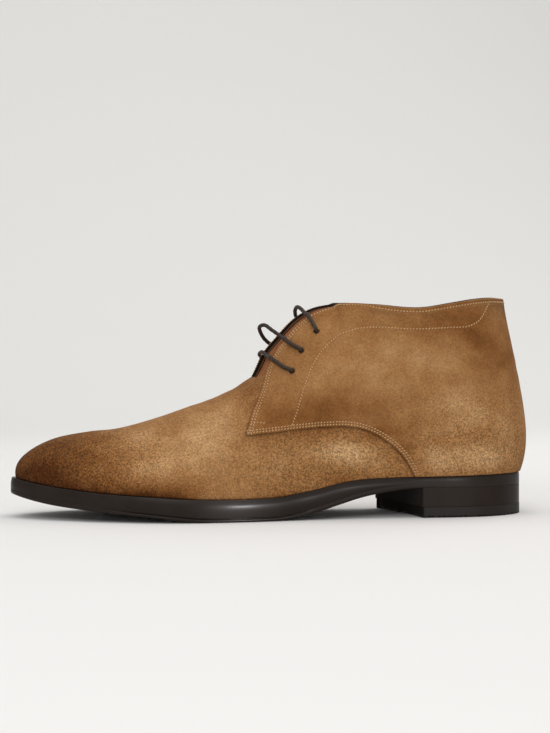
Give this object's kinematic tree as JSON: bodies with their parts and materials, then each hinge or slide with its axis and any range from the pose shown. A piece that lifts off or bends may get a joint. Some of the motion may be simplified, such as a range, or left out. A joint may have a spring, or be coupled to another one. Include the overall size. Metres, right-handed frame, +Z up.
{
  "type": "chukka boot",
  "caption": "Left ankle-high suede chukka boot with an open collar, laced quarters over a plain vamp, a rubber sole and a low heel.",
  "frame": {"origin": "middle of the heel's flat base, on the floor", "axes": "+X from heel to toe, +Y toward the outer side of the foot, +Z up"},
  "size_m": [0.3139, 0.104, 0.1313],
  "materials": {
    "sole_rubber": "satin",
    "lift_rubber": "satin",
    "sock": "matt",
    "suede": "matt suede nap",
    "tongue_suede": "matt suede nap",
    "lace": "waxed"
  },
  "bodies": {
    "root": {"outsole": "sole_rubber", "heel_block": "sole_rubber", "top_lift": "lift_rubber", "insole": "sock", "upper": "suede", "tongue": "tongue_suede", "lace_bar_lower": "lace", "lace_bar_middle": "lace", "lace_bar_upper": "lace"}
  },
  "joints": []
}
